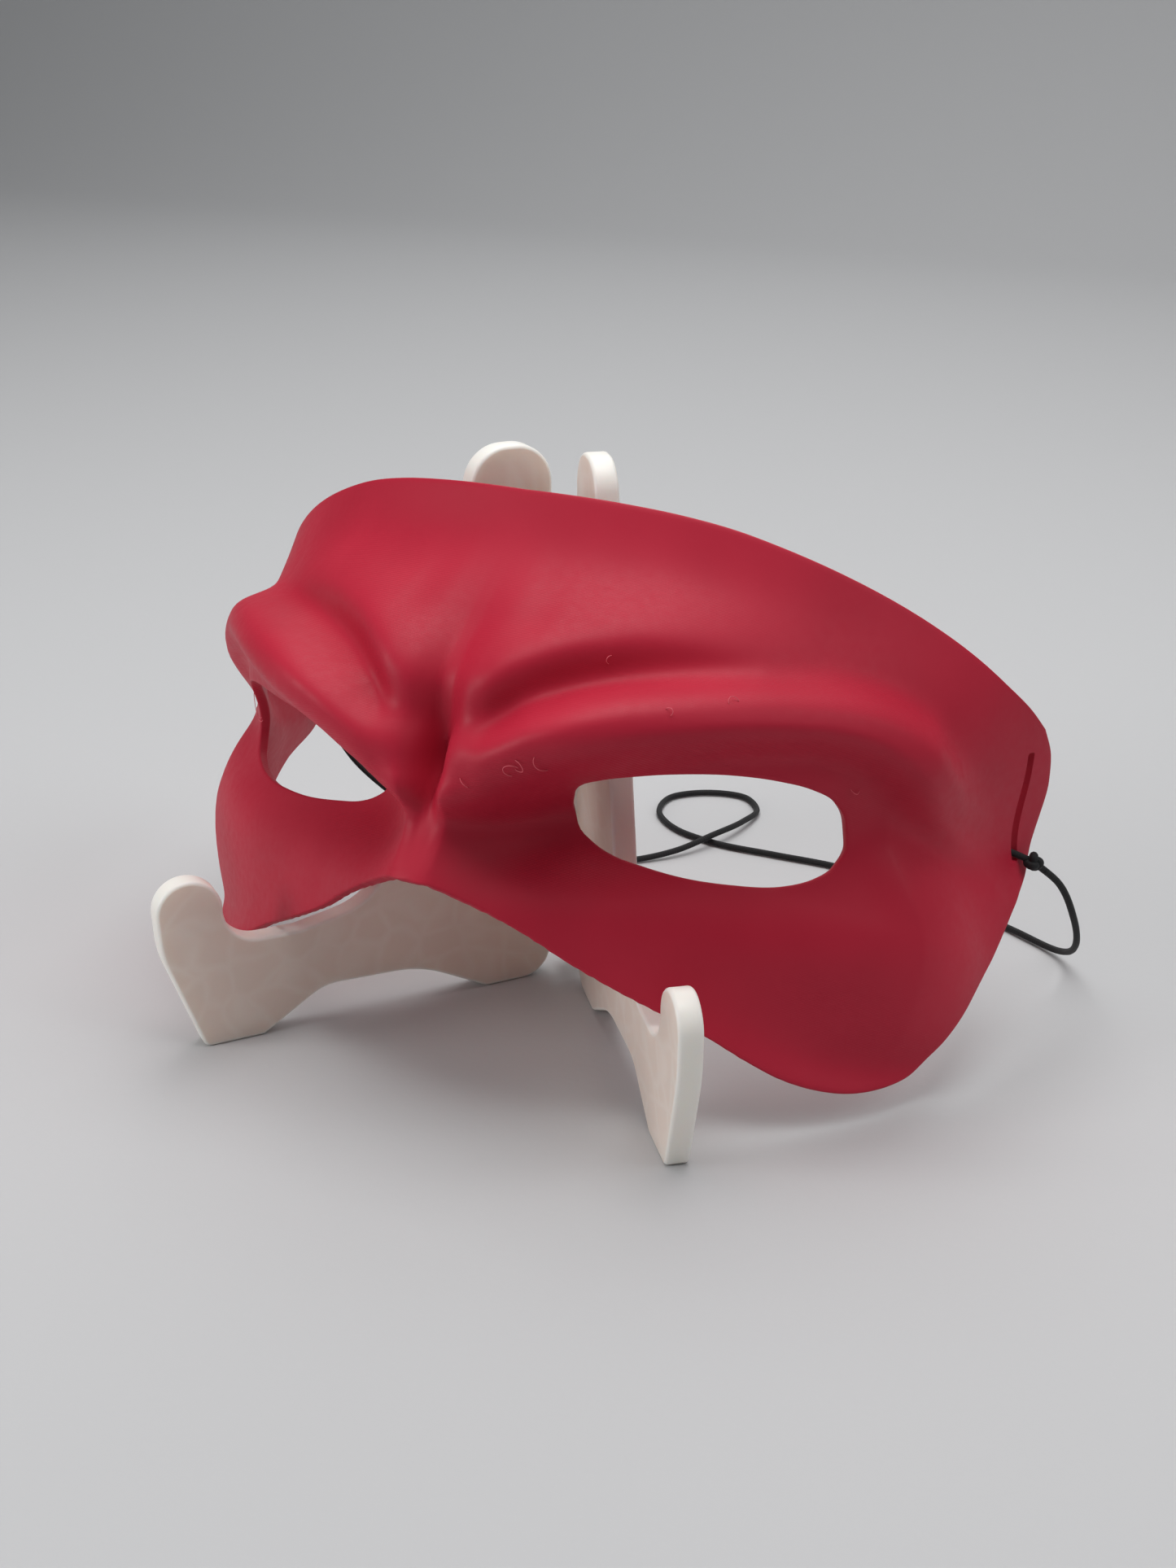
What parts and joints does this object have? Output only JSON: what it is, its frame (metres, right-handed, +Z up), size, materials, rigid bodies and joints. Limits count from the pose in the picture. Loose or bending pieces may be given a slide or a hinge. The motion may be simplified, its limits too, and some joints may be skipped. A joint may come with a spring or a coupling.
{
  "type": "cosplay half mask on a plain display stand",
  "caption": "Hollow half mask with a furrowed brow, eye holes and strap slots, its elastic cord tied on, resting on an upright stand of plates joined at the rear.",
  "frame": {"origin": "on the table, under the middle of the mask and stand taken together", "axes": "+Z up, -Y out of the mask's front, +X to the right of someone who looks at the front"},
  "size_m": [0.1665, 0.1586, 0.1035],
  "materials": {
    "red_printed_plastic": "satin, with fine layer lines",
    "white_printed_plastic": "satin, slightly translucent",
    "black_elastic": "matte braided cord"
  },
  "bodies": {
    "root": {"mask_shell": "red_printed_plastic", "elastic_cord": "black_elastic", "cord_knot_left": "black_elastic", "cord_knot_right": "black_elastic", "stand_plate_left": "white_printed_plastic", "stand_plate_right": "white_printed_plastic", "stand_hinge": "white_printed_plastic"}
  },
  "joints": []
}
